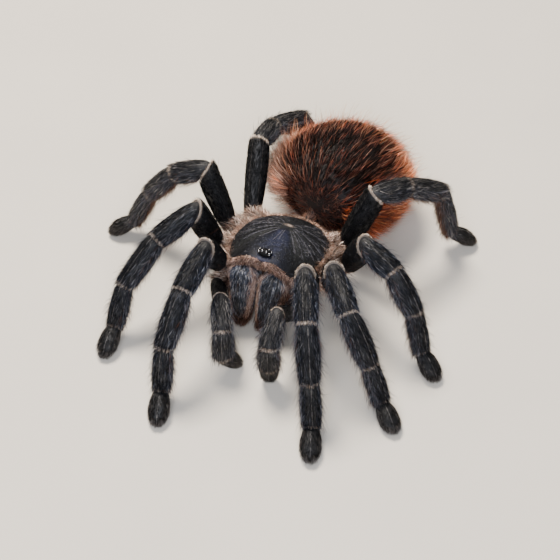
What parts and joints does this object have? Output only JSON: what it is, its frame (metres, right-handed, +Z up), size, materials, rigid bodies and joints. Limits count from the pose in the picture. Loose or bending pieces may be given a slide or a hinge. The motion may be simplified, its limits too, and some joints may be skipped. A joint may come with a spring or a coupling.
{
  "type": "standing tarantula",
  "caption": "Still, life-size red rump tarantula standing with its legs spread, hairy all over, with a dark domed shield and a rusty red abdomen.",
  "frame": {"origin": "middle of the bounding box's underside, on the floor under the body", "axes": "+Z up from the floor, -Y towards the head, +X towards the spider's own left"},
  "size_m": [0.0948, 0.1064, 0.0315],
  "materials": {
    "limb_coat": "black to blue-grey bristles with cream rings at the joints",
    "femur_coat": "velvety black short hair with thin pale lines",
    "shield": "satin blue-black shell with short olive-grey hair toward the rim",
    "eyes": "glossy black lenses",
    "abdomen_coat": "brownish-black short hair under long rust-red hair",
    "underside_coat": "dark short hair, pinkish-grey and shaggy at the leg roots",
    "jaw_coat": "blue-black hair with grey streaks, rusty at the lower end",
    "horn": "glossy black"
  },
  "bodies": {
    "root": {"abdomen": "abdomen_coat", "carapace": "shield", "chelicera_left": "jaw_coat", "chelicera_right": "jaw_coat", "eye_mound": "eyes", "fang_left": "horn", "fang_right": "horn", "leg_left_1_femur": "femur_coat", "leg_left_1_metatarsus": "limb_coat", "leg_left_1_patella": "limb_coat", "leg_left_1_tarsus": "limb_coat", "leg_left_1_tibia": "limb_coat", "leg_left_2_femur": "femur_coat", "leg_left_2_metatarsus": "limb_coat", "leg_left_2_patella": "limb_coat", "leg_left_2_tarsus": "limb_coat", "leg_left_2_tibia": "limb_coat", "leg_left_3_femur": "femur_coat", "leg_left_3_metatarsus": "limb_coat", "leg_left_3_patella": "limb_coat", "leg_left_3_tarsus": "limb_coat", "leg_left_3_tibia": "limb_coat", "leg_left_4_femur": "femur_coat", "leg_left_4_metatarsus": "limb_coat", "leg_left_4_patella": "limb_coat", "leg_left_4_tarsus": "limb_coat", "leg_left_4_tibia": "limb_coat", "leg_right_1_femur": "femur_coat", "leg_right_1_metatarsus": "limb_coat", "leg_right_1_patella": "limb_coat", "leg_right_1_tarsus": "limb_coat", "leg_right_1_tibia": "limb_coat", "leg_right_2_femur": "femur_coat", "leg_right_2_metatarsus": "limb_coat", "leg_right_2_patella": "limb_coat", "leg_right_2_tarsus": "limb_coat", "leg_right_2_tibia": "limb_coat", "leg_right_3_femur": "femur_coat", "leg_right_3_metatarsus": "limb_coat", "leg_right_3_patella": "limb_coat", "leg_right_3_tarsus": "limb_coat", "leg_right_3_tibia": "limb_coat", "leg_right_4_femur": "femur_coat", "leg_right_4_metatarsus": "limb_coat", "leg_right_4_patella": "limb_coat", "leg_right_4_tarsus": "limb_coat", "leg_right_4_tibia": "limb_coat", "palp_left_femur": "femur_coat", "palp_left_patella": "limb_coat", "palp_left_tarsus": "limb_coat", "palp_left_tibia": "limb_coat", "palp_right_femur": "femur_coat", "palp_right_patella": "limb_coat", "palp_right_tarsus": "limb_coat", "palp_right_tibia": "limb_coat", "spinneret_left": "limb_coat", "spinneret_right": "limb_coat", "sternum_and_coxae": "underside_coat"}
  },
  "joints": []
}
